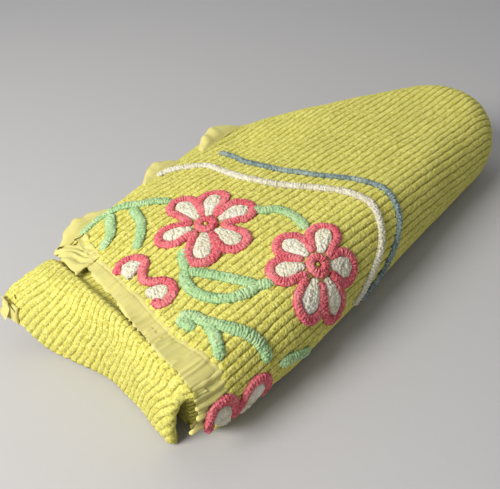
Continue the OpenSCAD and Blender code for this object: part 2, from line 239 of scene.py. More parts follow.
def clothPiece(name, coords, place, relief, finish, radius, sides=(1, 1, 1, 1), reach=0.012):
    # coords holds along and across for each point of a grid; relief gives height and pile there
    a, b = coords[..., 0], coords[..., 1]
    p, n = place(a, b)
    p, n, c = rimmed(p, n, coords, radius, sides, reach)
    measureCut(c)
    height, pile = relief(c[..., 0], c[..., 1])
    p = p + n * height[..., None]
    p[..., 2] = np.maximum(p[..., 2], slack["floorGap"])
    rows, columns = p.shape[:2]
    facts = {
        "cloth": np.concatenate([c, pile[..., None]], -1).reshape(-1, 3),
        "pile": pile.ravel(),
    }
    faces = gridFaces(rows, columns)
    v = p.reshape(-1, 3)
    q = v[faces]
    facing = np.cross(q[:, 1] - q[:, 0], q[:, 3] - q[:, 0]).reshape(rows - 1, columns - 1, 3)
    if (facing * n[:-1, :-1]).sum() < 0:
        faces = faces[:, ::-1]
    return makePiece(name, v, [faces], finish, facts)


print("finishes: yarn, tufts and plain weave")


class Wire:      # a node's output, so that shader maths reads as plain arithmetic
    def __init__(self, paint, socket):
        self.paint = paint
        self.socket = socket

    def maths(self, operation, *values):
        return self.paint.node("ShaderNodeMath", {"operation": operation}, dict(enumerate(values)))

    def __add__(self, other):
        return self.maths("ADD", self, other)

    def __radd__(self, other):
        return self.maths("ADD", other, self)

    def __sub__(self, other):
        return self.maths("SUBTRACT", self, other)

    def __rsub__(self, other):
        return self.maths("SUBTRACT", other, self)

    def __mul__(self, other):
        return self.maths("MULTIPLY", self, other)

    def __rmul__(self, other):
        return self.maths("MULTIPLY", other, self)

    def sine(self):
        return self.maths("SINE", self)

    def within(self, low, high):      # from 0 at low to 1 at high, clamped
        return self.paint.node("ShaderNodeMapRange", {"interpolation_type": "SMOOTHSTEP"},
                               {"Value": self, "From Min": low, "From Max": high})


class Paint:      # a material under construction
    def __init__(self, name):
        self.material = bpy.data.materials.new(name)
        self.material.use_nodes = True
        self.tree = self.material.node_tree
        self.tree.nodes.clear()

    def node(self, kind, settings=None, inputs=None, output=0):
        made = self.tree.nodes.new(kind)
        for key, value in (settings or {}).items():
            setattr(made, key, value)
        for key, value in (inputs or {}).items():
            if isinstance(value, Wire):
                self.tree.links.new(value.socket, made.inputs[key])
            else:
                made.inputs[key].default_value = value
        return Wire(self, made.outputs[output]) if len(made.outputs) else None

    def fact(self, name, output="Fac"):
        return self.node("ShaderNodeAttribute", {"attribute_name": name}, {}, output)

    def noise(self, scale, detail=2.0, where=None, roughness=0.5):
        values = {"Scale": scale, "Detail": detail, "Roughness": roughness}
        values["Vector"] = where or self.node("ShaderNodeTexCoord", {}, {}, "Object")
        return self.node("ShaderNodeTexNoise", {}, values)

    def stretched(self, name, factors):      # a stored coordinate, scaled along each way
        return self.node("ShaderNodeVectorMath", {"operation": "MULTIPLY"},
                         {0: self.fact(name, "Vector"), 1: factors})

    def blend(self, factor, first, second, how="MIX"):
        return self.node("ShaderNodeMix", {"data_type": "RGBA", "blend_type": how},
                         {0: factor, 6: first, 7: second}, 2)

    def finish(self, colour, roughness, height, depth, sheen):
        bump = self.node("ShaderNodeBump", {}, {"Height": height, "Distance": depth, "Strength": 1.0})
        shader = self.node("ShaderNodeBsdfPrincipled", {}, {
            "Base Color": colour, "Roughness": roughness, "Normal": bump, "Sheen Weight": sheen["weight"],
            "Sheen Roughness": sheen["roughness"], "Sheen Tint": sheen["tint"],
            "Specular IOR Level": 0.2,
        })
        self.node("ShaderNodeOutputMaterial", {}, {"Surface": shader})
        return self.material


def colour(red, green, blue):
    return (red, green, blue, 1.0)


tuftLook = {
    "base": colour(0.30, 0.255, 0.035),       # painted shade down between the ribs and among the yarn ends
    "tuft": colour(0.62, 0.565, 0.085),
    "bright": colour(0.87, 0.81, 0.195),
    # painted highlight for the lit tops of the yarn ends
    "tip": colour(0.98, 0.96, 0.42),
    "faded": colour(0.62, 0.60, 0.14),
    "sheen": {"weight": 0.12, "roughness": 0.5, "tint": colour(0.95, 0.93, 0.6)},
}


def tuftFinish(name, look):
    paint = Paint(name)
    pile = paint.fact("pile")
    yarn = paint.noise(420, 3, roughness=0.7)
    clump = paint.noise(190, 2)
    fading = paint.noise(9, 3)
    hue = paint.blend(clump.within(0.3, 0.7), look["tuft"], look["bright"])
    hue = paint.blend(fading.within(0.45, 0.75) * 0.6, hue, look["faded"])
    # low pile in the grooves and between tufts takes the painted shade colour
    hue = paint.blend((pile + (yarn - 0.5) * 0.6).within(0.08, 0.66), look["base"], hue)
    # dark specks of painted shade among the yarn ends
    hue = paint.blend((yarn.within(0.36, 0.50) * -1 + 1) * 0.40, hue, look["base"])
    # pale specks of painted highlight scattered over the yarn ends
    hue = paint.blend(yarn.within(0.52, 0.66) * 0.55, hue, look["tip"])
    height = yarn * 0.6 + clump * 0.4
    return paint.finish(hue, 0.95 - yarn * 0.15, height, 0.0022, look["sheen"])


weaveLook = {
    "warm": colour(0.78, 0.70, 0.235),
    "cool": colour(0.70, 0.64, 0.21),
    "worn": colour(0.84, 0.78, 0.36),
    "sheen": {"weight": 0.08, "roughness": 0.45, "tint": colour(0.97, 0.95, 0.75)},
    "threads": 5200.0,                        # radians of weave for each metre, 1.2 mm a thread pair
}


def weaveFinish(name, look):
    paint = Paint(name)
    across = paint.node("ShaderNodeSeparateXYZ", {}, {0: paint.fact("cloth", "Vector")}, 1)
    along = paint.node("ShaderNodeSeparateXYZ", {}, {0: paint.fact("cloth", "Vector")}, 0)
    weave = (along * look["threads"]).sine() * (across * look["threads"]).sine()
    slub = paint.noise(1, 2, paint.stretched("cloth", (60, 900, 1)))
    patch = paint.noise(35, 3)
    hue = paint.blend(patch.within(0.35, 0.65), look["warm"], look["cool"])
    hue = paint.blend(slub.within(0.45, 0.75) * 0.5, hue, look["worn"])
    # a little darker in the low parts of the weave: painted shade in its hollows
    hue = paint.blend((weave * -1).within(0.2, 1.0) * 0.18, hue, look["cool"])
    height = weave * 0.35 + slub * 0.5 + patch * 0.3
    return paint.finish(hue, 0.85 - slub * 0.1, height, 0.0005, look["sheen"])


def yarnFinish(name, look):      # crosswise loops of thick yarn, on a tufted line or a fill
    paint = Paint(name)
    pile = paint.fact("pile")
    strands = paint.noise(1, 2, paint.stretched("cloth", (430, 120, 1)))
    fuzz = paint.noise(430, 3, roughness=0.75)
    wash = paint.noise(45, 2)
    hue = paint.blend(strands.within(0.35, 0.7), look["deep"], look["main"])
    hue = paint.blend(wash.within(0.4, 0.7) * 0.5, hue, look["pale"])
    hue = paint.blend((pile + (fuzz - 0.5) * 0.9).within(-0.10, 0.50), look["shade"], hue)
    # pale specks of painted highlight on the fuzz
    hue = paint.blend(fuzz.within(0.50, 0.64) * 0.85, hue, look["pale"])
    height = strands * 0.5 + fuzz * 0.8
    return paint.finish(hue, 0.95 - fuzz * 0.1, height, 0.0020, look["sheen"])


pinkLook = {
    "main": colour(0.80, 0.155, 0.185),
    "deep": colour(0.62, 0.070, 0.100),
    "pale": colour(0.95, 0.36, 0.35),
    "shade": colour(0.26, 0.025, 0.05),
    "sheen": {"weight": 0.12, "roughness": 0.5, "tint": colour(1.0, 0.75, 0.8)},
}
whiteLook = {
    "main": colour(0.84, 0.79, 0.60),
    "deep": colour(0.62, 0.57, 0.38),
    "pale": colour(0.95, 0.93, 0.82),
    "shade": colour(0.34, 0.31, 0.22),
    "sheen": {"weight": 0.1, "roughness": 0.5, "tint": colour(1.0, 1.0, 0.9)},
}
greenLook = {
    "main": colour(0.45, 0.68, 0.31),
    "deep": colour(0.30, 0.52, 0.25),
    "pale": colour(0.66, 0.83, 0.46),
    "shade": colour(0.08, 0.20, 0.08),
    "sheen": {"weight": 0.1, "roughness": 0.5, "tint": colour(0.9, 1.0, 0.8)},
}
blueLook = {
    "main": colour(0.23, 0.32, 0.32),
    "deep": colour(0.11, 0.17, 0.17),
    "pale": colour(0.50, 0.58, 0.50),
    "shade": colour(0.04, 0.07, 0.08),
    "sheen": {"weight": 0.1, "roughness": 0.5, "tint": colour(0.85, 0.95, 1.0)},
}

yellowTufts = tuftFinish("yellowTufts", tuftLook)
plainHem = weaveFinish("plainHem", weaveLook)
pinkYarn = yarnFinish("pinkYarn", pinkLook)
whiteYarn = yarnFinish("whiteYarn", whiteLook)
greenYarn = yarnFinish("greenYarn", greenLook)
blueYarn = yarnFinish("blueYarn", blueLook)


print("outer layer: ribs of small tufts over the whole bundle")

ribs = {"pitch": 0.0103, "slant": -0.08, "step": 0.0040, "height": 0.0026, "long": 0.60, "wide": 0.52,
        "grain": 0.0025, "seed": 11}


def lumps(x, y, size, seed):      # rounded lumps, as the ends of cut yarn make
    i, j = np.floor(x / size), np.floor(y / size)
    best = np.zeros(np.shape(x))
    for di in (-1, 0, 1):
        for dj in (-1, 0, 1):
            cx = (i + di + 0.5 + 0.7 * (scatter(i + di, j + dj, seed) - 0.5)) * size
            cy = (j + dj + 0.5 + 0.7 * (scatter(i + di, j + dj, seed + 1) - 0.5)) * size
            tall = 0.65 + 0.35 * scatter(i + di, j + dj, seed + 2)
            q = ((x - cx) ** 2 + (y - cy) ** 2) / (0.72 * size) ** 2
            best = np.maximum(best, tall * np.sqrt(np.maximum(1 - q, 0)))
    return best


def tuftRelief(a, b, look):      # height over the ground cloth, and pile from 0 to 1; the tufted finish paints shade where pile is low
    sway = 0.0010 * ripple(a, b, 0.030, look["seed"]) + 0.0007 * ripple(a, b, 0.0075, look["seed"] + 1)
    count = (b + look["slant"] * a + sway) / look["pitch"]
    rib = np.floor(count)
    off = count - rib - 0.5
    first = np.floor(a / look["step"])
    best = np.zeros(np.shape(a))
    for k in (-1, 0, 1):
        i = first + k
        size = 0.66 + 0.34 * scatter(i, rib, look["seed"] + 2)
        centre = (i + 0.5 + 0.7 * (scatter(i, rib, look["seed"] + 3) - 0.5)) * look["step"]
        aside = off - 0.16 * (scatter(i, rib, look["seed"] + 4) - 0.5)
        q = ((a - centre) / (look["long"] * look["step"])) ** 2 + (aside / (look["wide"] * size)) ** 2
        best = np.maximum(best, size * np.sqrt(np.maximum(1 - q, 0)))
    groove = np.abs(2 * off) * (1.04 + 0.06 * ripple(a, b, 0.005, look["seed"] + 5))
    ridge = 1 - np.clip(groove, 0, 1) ** 5
    grain = lumps(a, b, look["grain"], look["seed"] + 6)
    height = ridge * (0.34 + 0.16 * best + 0.54 * grain)
    pile = ridge * (0.48 + 0.14 * best + 0.42 * grain)
    return look["height"] * height, np.clip(pile, 0, 1)


hemPlan = {
    "outer": [(-0.316, -0.006), (-0.306, 0.004), (-0.277, 0.009), (-0.218, 0.006), (-0.166, 0.010),
              (-0.094, 0.019), (-0.029, 0.026)],
    "inner": [(-0.316, 0.030), (-0.300, 0.043), (-0.267, 0.046), (-0.212, 0.034), (-0.161, 0.037),
              (-0.090, 0.041), (-0.030, 0.044), (0.030, 0.048)],
}


def hemEdge(which, b):
    spots = hemPlan[which]
    return np.interp(b, [s[0] for s in spots], [s[1] for s in spots])


def wrapRoom(a, b):      # positive where the outer layer still covers the bundle
    turn, n = wrapCloth(a, b)[2:]
    opened = smooth((n[..., 1] - 0.8) / 0.17)
    return bundle["closedWrap"] + (bundle["openWrap"] - bundle["closedWrap"]) * opened - turn


def edgeBetween(inside, outside, across):      # along the cloth, where its room runs out
    low = np.array(inside, float)
    high = np.array(outside, float)
    for step in range(18):
        middle = (low + high) / 2
        kept = wrapRoom(middle, across) >= 0
        low = np.where(kept, middle, low)
        high = np.where(kept, high, middle)
    return low


outerPlan = {"peak": 0.33, "peakLow": 0.043, "far": 0.9, "seams": (-0.324, -0.168, -0.012),
             "lowest": -0.478, "highest": 0.118,      # rows across, trimmed below to those with cloth
             "rowStep": 0.0012, "columns": 640, "radius": 0.0024, "pressed": 0.5, "ragged": 0.0012}


def peakAlong(share):      # a place along that is well inside the cloth, for each row
    return outerPlan["peakLow"] + (outerPlan["peak"] - outerPlan["peakLow"]) * share


def outerSpan(b):      # where the outer layer starts and ends along a row
    start = hemEdge("inner", b)
    share = (b - outerPlan["lowest"]) / (outerPlan["highest"] - outerPlan["lowest"])
    inside = np.maximum(start, peakAlong(share))
    begins = np.where(wrapRoom(start, b) >= 0, start, edgeBetween(inside, start, b))
    return begins, edgeBetween(inside, np.full(np.shape(b), outerPlan["far"]), b)


def reachOfRows():      # the furthest rows across that still hold cloth
    b = np.linspace(-0.60, 0.30, 901)
    share = np.clip((b - outerPlan["lowest"]) / (outerPlan["highest"] - outerPlan["lowest"]), 0, 1)
    held = wrapRoom(peakAlong(share), b) >= 0.04
    return b[held].min(), b[held].max()


outerPlan["lowest"], outerPlan["highest"] = reachOfRows()
print("  rows from", outerPlan["lowest"], "to", outerPlan["highest"])


def outerRelief(a, b):
    height, pile = tuftRelief(a, b, ribs)
    turn = wrapCloth(a, b)[2]
    squeezed = 1 - outerPlan["pressed"] * smooth((turn - 1.4) / 0.7)      # under the bundle's weight
    ragged = outerPlan["ragged"] * ripple(a, b, 0.006, 12)
    free = 0.3 + 0.7 * smooth((a - hemEdge("inner", b) + 0.001 + ragged) / 0.0025)
    return height * squeezed * free, pile


def outerStrips():
    cuts = [outerPlan["lowest"], *outerPlan["seams"], outerPlan["highest"]]
    strips = []
    for k in range(len(cuts) - 1):
        rows = max(2, int((cuts[k + 1] - cuts[k]) / outerPlan["rowStep"]) + 1)
        b = np.linspace(cuts[k], cuts[k + 1], rows)
        begins, ends = outerSpan(b)
        share = np.linspace(0, 1, outerPlan["columns"])
        a = begins[:, None] + (ends - begins)[:, None] * share
        grid = np.stack([a, np.broadcast_to(b[:, None], a.shape)], -1)
        sides = (k == 0, k == len(cuts) - 2, 1, 1)
        strip = clothPiece(f"outerLayer{k + 1}", grid, outerFace, outerRelief, yellowTufts,
                           outerPlan["radius"], sides)
        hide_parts("outer_layer")
        strips.append(strip)
    return strips


outerLayer = outerStrips()


print("hems: plain doubled cloth across the near end")

hems = {
    "radius": 0.0013,                         # half the thickness of a folded hem
    "crease": 0.0017, "creaseSize": 0.0060, "wave": 0.0016, "waveSize": 0.026,
    "stitch": 0.0007, "stitchIn": 0.0055, "stitchWide": 0.0011, "puckers": 1400,
    "under": 0.003,                           # how far the tufts of the outer layer cover it
    "sunk": 0.0016,
    "returnCrease": 0.0018, "returnPitch": 0.0135,
    "rowStep": 0.0014, "columns": 32,
}


def hemRelief(a, b):      # fine creases run across the hem, and its inner edge is stitched down
    inner = hemEdge("inner", b)
    height = hems["crease"] * (1 - 2 * np.abs(ripple(a * 0.14 + b * 0.2, b, hems["creaseSize"], 21)) ** 0.7)
    height = height + hems["wave"] * ripple(a, b, hems["waveSize"], 22)
    seam = np.exp(-((a - inner + hems["stitchIn"]) / hems["stitchWide"]) ** 2)
    pucker = 0.5 + 0.5 * np.sin(b * hems["puckers"])
    height = height - hems["stitch"] * seam * (0.6 + 0.8 * pucker)
    return height, 0.5 + 0.5 * ripple(a, b, 0.012, 23)


def hemGrid(low, high, outer=None, spare=0.0):      # from the outer edge, or a given line, to the inner
    b = np.linspace(low, high, max(3, int((high - low) / hems["rowStep"])))
    share = np.linspace(0, 1, hems["columns"])
    begins = hemEdge("outer", b) if outer is None else outer + 0 * b
    ends = hemEdge("inner", b) + spare + hems["under"]
    a = begins[:, None] + (ends - begins)[:, None] * share
    return np.stack([a, np.broadcast_to(b[:, None], a.shape)], -1)


def nearHemPlace(a, b):      # the tufts of the layer start over the hem's inner edge
    sunk = hems["sunk"] * smooth((a - hemEdge("inner", b) + 0.001) / 0.0025)
    return outerFace(a, b, sunk)


nearHem = clothPiece("nearHem", hemGrid(-0.268, -0.020), nearHemPlace, hemRelief, plainHem,
                     hems["radius"])
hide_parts("near_hem")


def returnRelief(a, b):      # creases run along the cloth where the hem is folded down
    sway = 4 * ripple(a, b, 0.03, 24)
    height = hems["returnCrease"] * np.sin(b * 2 * math.pi / hems["returnPitch"] + sway)
    return height + 0.0008 * ripple(a, b, 0.008, 25), 0.5 + 0.5 * ripple(a, b, 0.012, 26)


hemReturn = clothPiece("hemReturn", hemGrid(-0.318, -0.2665), nearHemPlace, returnRelief, plainHem,
                       hems["radius"])
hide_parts("hem_return")


gather = {"from": -0.026, "to": 0.036, "outer": 0.012, "sway": 0.004, "curl": 0.006, "lift": 0.0005,
          "fold": 0.0016, "foldPitch": 0.010, "crumple": 0.0012}


def gatherPlace(a, b):
    rise = smooth((b + 0.030) / 0.05)
    p, n = outerFace(a + gather["sway"] * np.sin(b * 60) * rise, b)
    curl = gather["curl"] * rise * (0.5 + 0.5 * np.cos((a - 0.018) * 150))
    return p + n * (gather["lift"] + curl)[..., None], n


def gatherRelief(a, b):
    sway = 4 * ripple(a, b, 0.022, 27)
    folds = gather["fold"] * np.sin((a * 0.6 + b * 0.5) * 2 * math.pi / gather["foldPitch"] + sway)
    return folds + gather["crumple"] * ripple(a, b, 0.009, 28), 0.5 + 0.5 * ripple(a, b, 0.012, 29)


hemGather = clothPiece("hemGather", hemGrid(gather["from"], gather["to"], gather["outer"], 0.001),
                       gatherPlace, gatherRelief, plainHem, hems["radius"])
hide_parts("hem_gather")


print("lower panel: folded cloth hanging over the near end")

panel = {
    "start": 0.006, "tuck": 0.022, "right": -0.268, "split": 0.008, "left": 0.041,
    "thick": 0.009, "slide": 0.028,
    "ribs": {"pitch": 0.0098, "slant": 0.0, "step": 0.0040, "height": 0.0028, "long": 0.60, "wide": 0.52,
             "grain": 0.0025, "seed": 41},
    "footFrom": 0.128,
    "drift": (-0.30, 0.58),                   # how the ribs run aside, on top and down the front
    "bend": (0.012, 0.035),
    "wander": 0.0014, "sag": 0.0024,
    "footLump": 0.0024, "footLumpSize": 0.0062,
    "tuckedDrop": 0.0075,
    "rowStep": 0.0013,
}


def panelReach(b):
    return 0.022 + 0.049 * smooth((b + 0.150) / 0.190)


def panelFoot(b):
    return 0.0075 + 0.0375 * smooth((b + 0.050) / 0.090)


def panelPoint(s, b, depth):      # s runs from -1, tucked under the hem, to 1 at the foot
    turn = np.clip(s, 0, 1) * math.pi / 2
    foot = panelFoot(b)
    under = bundle["hemThick"] + 0.001
    top = wrapCloth(np.full(np.shape(b), 0.020), b)[0][..., 2] - under
    a = np.where(s < 0, panel["start"] - s * panel["tuck"],
                 panel["start"] - (panelReach(b) - depth) * np.sin(turn))
    z = foot + (top - depth - foot) * np.cos(turn)
    slide = panel["slide"] * np.sin(turn) * np.clip((-0.100 - b) / 0.172, 0, 1)
    c = flatPoint(a, b + slide)
    z = z - panel["tuckedDrop"] * smooth(-s / 0.45)
    return np.concatenate([c, z[..., None]], -1)


def gridNormals(p):
    return unit(np.cross(np.gradient(p, axis=1), np.gradient(p, axis=0)))


def panelPiece(name, low, high, depth, radius, relief, finish, sides, span=(-1, 1), lift=0.0):
    if span[0] < 0:
        s = np.concatenate([np.linspace(span[0], 0, 8)[:-1], np.linspace(0, span[1], 86)])
    else:
        s = np.linspace(span[0], span[1], 40)
    b = np.linspace(low, high, max(4, int((high - low) / panel["rowStep"])))
    grid = np.stack(np.meshgrid(b, s, indexing="ij"), -1)
    p = panelPoint(grid[..., 1], grid[..., 0], depth - lift)
    run = np.concatenate([np.zeros((len(b), 1)),
                          np.cumsum(np.linalg.norm(np.diff(p, axis=1), axis=-1), axis=1)], 1)
    n = gridNormals(p)
    if n[..., 2].mean() < 0:
        n = -n
    free = smooth((run - 0.020) / 0.03)
    p = p + n * (panel["sag"] * free * ripple(run, grid[..., 0], 0.05, 31))[..., None]
    coords = np.stack([run, grid[..., 0]], -1)
    return clothPiece(name, coords, lambda a, b: (p, n), relief, finish, radius, sides, 0.02)


def panelRelief(a, b):
    down = np.maximum(a - panel["tuck"], 0)
    begin, span = panel["bend"]
    t = np.clip((down - begin) / span, 0, 1)
    below = span * (t ** 3 - t ** 4 / 2) + np.maximum(down - begin - span, 0)
    aside = panel["drift"][0] * down + (panel["drift"][1] - panel["drift"][0]) * below
    wander = panel["wander"] * ripple(a, b, 0.022, 42)
    height, pile = tuftRelief(a, b - aside + wander, panel["ribs"])
    tucked = smooth((a - panel["tuck"] + 0.006) / 0.010)      # flat where the hem covers it
    foot = smooth((a - panel["footFrom"]) / 0.008) * lumps(a, b, panel["footLumpSize"], 43)
    return height * (0.2 + 0.8 * tucked) + panel["footLump"] * foot, pile


lowerPanel = panelPiece("lowerPanel", panel["right"], panel["split"], 0.0005, 0.0040, panelRelief,
                        yellowTufts, (1, 1, 0, 1))
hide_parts("lower_panel")
leftPleat = panelPiece("leftPleat", panel["split"] + 0.001, panel["left"], 0.0005, 0.0038, panelRelief,
                       yellowTufts, (1, 1, 0, 1))
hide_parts("left_pleat")


def plainRelief(a, b):
    return 0.0010 * ripple(a, b, 0.012, 33), 0.5 + 0.5 * ripple(a, b, 0.012, 34)


lining = panelPiece("lowerPanelLining", -0.070, panel["left"], panel["thick"] + 0.0006, hems["radius"],
                    plainRelief, plainHem, (1, 1, 1, 1), (0.4, 1))
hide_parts("lower_panel_lining")
cornerTab = panelPiece("cornerTab", panel["split"] + 0.002, panel["left"] - 0.001, 0, 0.0014, plainRelief,
                       plainHem, (1, 1, 1, 1), (0.76, 1), 0.0045)
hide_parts("corner_tab")


print("side hems: plain edges that lift at the open side")


flaps = {"rows": 80, "columns": 30, "wide": 0.014, "wider": 0.020, "turn": 0.24, "inset": 0.006,
         "clear": 0.0030, "droop": 0.0015, "crumple": 0.28}


def sideHem(name, node, begin, end, low, lift):      # a soft fold that stands up and turns down again
    f = np.linspace(0, 1, flaps["rows"])
    side = np.linspace(0, 1, flaps["columns"])
    a = (begin + (end - begin) * f)[:, None] + 0 * side
    wide = flaps["wide"] + flaps["wider"] * np.sin(math.pi * f)
    b = low - flaps["inset"] + flaps["turn"] * (a - begin) + wide[:, None] * side
    grid = np.stack([a, b], -1)
    rise = lift * np.sin(math.pi * f)[:, None] ** 0.7 * np.sin(math.pi * side ** 0.8) ** 0.8
    rise = rise * (1 + flaps["crumple"] * ripple(a, b * 0.4, 0.011, 35))
    rise = flaps["clear"] + rise - flaps["droop"] * side

    def place(a, b):
        p, n = outerFace(a, b)
        return p + n * rise[..., None], n

    piece = clothPiece(name, grid, place, plainRelief, plainHem, hems["radius"])
    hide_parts(node)
    return piece


sideHems = [
    sideHem("sideHemNear", "side_hem_near", 0.020, 0.108, 0.036, 0.016),
    sideHem("sideHemMiddle", "side_hem_middle", 0.172, 0.238, 0.064, 0.012),
    sideHem("sideHemFar", "side_hem_far", 0.278, 0.362, 0.072, 0.014),
]


print("folded packs: the layers inside, whose folds show at the open side")

packs = {
    "count": 8, "folds": 2, "step": 0.0018,
    "clear": 0.0054,                          # room for the layers above, below and beside
    "inset": 0.003, "depth": 0.0052,
    "uneven": 0.0035, "unevenFine": 0.0015, "sag": 0.0012,
    "near": 0.014, "nearRight": 0.062,        # where they start along, and at the right
    "rightFrom": -0.238, "rightFade": 0.012,
    "topBack": 0.022,                         # the top one starts further back
    "foldWide": 0.012, "foldUsed": 0.30,      # cloth across one fold's face
    "rings": (0.96, 0.88, 0.75, 0.6, 0.45, 0.3, 0.15),
}


def packRoom(height, rise, n):
    span = np.where(height > bundle["widest"], (height - bundle["widest"]) / (rise - bundle["layerThick"]),
                    (bundle["widest"] - height) / bundle["widest"])
    return (bulgeAt(n) - packs["clear"]) * np.sqrt(np.maximum(1 - span ** 2, 0))


def planOutline(step):      # points and outward ways round the plan, before they stand out
    corners = np.array(bundle["corners"])
    spots, ways = [], []
    for k in range(len(corners)):
        p, q = corners[k], corners[(k + 1) % len(corners)]
        e = unit(q - p)
        n = np.array([e[1], -e[0]])
        m = unit(corners[(k + 2) % len(corners)] - q)
        m = np.array([m[1], -m[0]])
        count = max(2, int(np.linalg.norm(q - p) / step))
        for f in np.arange(count) / count:
            spots.append(p + (q - p) * f)
            ways.append(n)
        turnCount = max(2, int(math.acos(np.clip(n @ m, -1, 1)) * 0.09 / step))
        for f in np.arange(turnCount) / turnCount:
            spots.append(q)
            ways.append(unit(n * (1 - f) + m * f))
    return np.array(spots), np.array(ways)


def packFace(rim, share):      # rings that carry a pack's rim in over its flat face
    middle = rim.mean(0)
    rings = []
    for scale in packs["rings"]:
        ring = middle + (rim - middle) * scale
        ring[:, 2] = packs["clear"] + (topHeight(ring[:, :2]) - 2 * packs["clear"]) * share
        rings.append(ring)
    return np.array(rings)


def packRings(k):      # rings of points up a pack's side, two folds high, with their stored facts
    spots, ways = planOutline(packs["step"])
    edge = spots + ways * bundle["cornerRadius"]
    top = topHeight(edge) - packs["clear"]
    run = np.concatenate([[0], np.cumsum(np.linalg.norm(np.diff(spots + 0.09 * ways, axis=0), axis=1))])
    still = 0 * run
    rings, facts, shares = [], [], []
    folds = packs["folds"]
    profile = [(f, t) for f in range(folds) for t in np.linspace(-1, 1, 9)[(1 if f else 0):]]
    for f, t in profile:
        share = ((k - 1) + (f + 0.5 + 0.5 * t) / folds) / packs["count"]
        z = packs["clear"] + (top - packs["clear"]) * share
        middle = packs["clear"] + (top - packs["clear"]) * ((k - 1) + (f + 0.5) / folds) / packs["count"]
        room = packRoom(np.minimum(middle, top), top + bundle["layerThick"] - bundle["widest"], ways)
        seed = 60 + k * folds + f
        uneven = packs["inset"] + packs["uneven"] * (1 + ripple(run, still, 0.09, seed))
        uneven = uneven + packs["unevenFine"] * (1 + ripple(run, still, 0.03, seed + 40))
        beads, pile = tuftRelief(run, np.full(len(run), (0.5 + packs["foldUsed"] * t) * packs["foldWide"]),
                                 {**ribs, "seed": seed})
        face = math.sqrt(max(1 - t * t, 0))
        out = room - uneven - packs["depth"] + packs["depth"] * face + beads * face ** 0.5
        sag = packs["sag"] * ripple(run, still, 0.07, seed + 80) * (1 - abs(t) ** 2)
        rings.append(np.concatenate([edge + ways * out[:, None], (z + sag)[:, None]], -1))
        shares.append(share)
        across = np.full(len(run), (f + 0.5 + packs["foldUsed"] * t) * packs["foldWide"])
        # pile fades towards each fold's edges, so the finish paints shade where the folds press together
        facts.append(np.stack([run, across, pile * math.sqrt(max(1 - t * t, 0.02))], -1))
    return np.array(rings), np.array(facts), np.array(shares)


def cutBack(rings, shares, k):      # pulls the near end back behind the panel and the hem
    flat = rings[..., :2] - np.array(bundle["origin"])
    a = flat @ ribDir
    right = smooth((packs["rightFrom"] - flat @ acrossDir) / packs["rightFade"])
    start = packs["near"] + (packs["nearRight"] - packs["near"]) * right
    if k == packs["count"]:
        start = start + packs["topBack"] * (1 - right)
    short = np.maximum(start - a, 0)
    rings[..., :2] += short[..., None] * ribDir
    room = topHeight(rings[..., :2]) - 2 * packs["clear"]
    rings[..., 2] = np.where(short > 0, packs["clear"] + room * shares[:, None], rings[..., 2])
    return rings


def packPiece(k):
    rings, facts, shares = packRings(k)
    rings = cutBack(rings, shares, k)
    low, high = packFace(rings[0], (k - 1) / packs["count"]), packFace(rings[-1], k / packs["count"])
    rings = np.concatenate([low[::-1], rings, high])
    facts = np.concatenate([facts[:1]] * len(low) + [facts] + [facts[-1:]] * len(high))
    count = rings.shape[1]
    points = rings.reshape(-1, 3)
    faces = gridFaces(len(rings), count, closedColumns=True)
    middle = np.stack([rings[0].mean(0), rings[-1].mean(0)])
    points = np.concatenate([points, middle])
    i = np.arange(count)
    low = np.stack([i * 0 + len(points) - 2, (i + 1) % count, i], -1)
    high = np.stack([i * 0 + len(points) - 1, (len(rings) - 1) * count + i,
                     (len(rings) - 1) * count + (i + 1) % count], -1)
    values = np.concatenate([facts.reshape(-1, 3), np.zeros((2, 3))])
    piece = makePiece(f"foldedPack{k}", points, [faces, low, high], yellowTufts,
                      {"cloth": values, "pile": values[:, 2]})
    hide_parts(f"inner_fold_{k}")
    return piece


foldedPacks = [packPiece(k) for k in range(1, packs["count"] + 1)]


print("underside: the layer that lies on the floor")


under = {"from": -0.40, "to": 0.10, "near": 0.012, "rows": 120, "columns": 260, "past": 0.018,
         "height": 0.0032, "flattened": 0.8, "radius": 0.0016}


def undersideGrid():
    b = np.linspace(under["from"], under["to"], under["rows"])
    share = np.clip((b - under["from"]) / (under["to"] - under["from"]), 0, 1)
    inside = under["near"] + (outerPlan["peak"] - under["near"]) * share

    def room(a, b):
        d = planCore(flatPoint(a, b))[2]
        return bundle["cornerRadius"] + under["past"] - d

    kept = room(inside, b) > 0.004
    b, inside = b[kept], inside[kept]

    def edge(inside, outside):
        low, high = np.array(inside, float), np.array(outside, float) + 0 * inside
        for step in range(16):
            middle = (low + high) / 2
            held = room(middle, b) >= 0
            low = np.where(held, middle, low)
            high = np.where(held, high, middle)
        return low

    begins = np.where(room(under["near"] + 0 * b, b) >= 0, packs["near"], edge(inside, under["near"]))
    ends = edge(inside, outerPlan["far"])
    a = begins[:, None] + (ends - begins)[:, None] * np.linspace(0, 1, under["columns"])
    return np.stack([a, np.broadcast_to(b[:, None], a.shape)], -1)


def undersidePlace(a, b):
    flat = flatPoint(a, b)
    p = np.concatenate([flat, np.full(flat.shape[:-1] + (1,), under["height"])], -1)
    n = np.zeros(p.shape)
    n[..., 2] = -1
    return p, n


def undersideRelief(a, b):
    height, pile = tuftRelief(a, b, ribs)
    return height * under["flattened"], pile


underside = clothPiece("undersideLayer", undersideGrid(), undersidePlace, undersideRelief, yellowTufts,
                       under["radius"], reach=0.004)
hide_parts("underside_layer")


print("tufted lines: flowers, vines, leaf and scallops")

lines = {
    "width": 0.0122, "height": 0.0052, "step": 0.0008, "sides": 17,
    "seat": 0.0012,                           # how high over the ribs a line starts
    "loop": 0.0034,                           # one loop of yarn along the line
    "lean": 0.0016, "fray": 0.0034, "fraySize": 0.0029, "edgeSize": 0.0031,
    "green": 0.0136, "white": 0.0112, "blue": 0.0088,
}


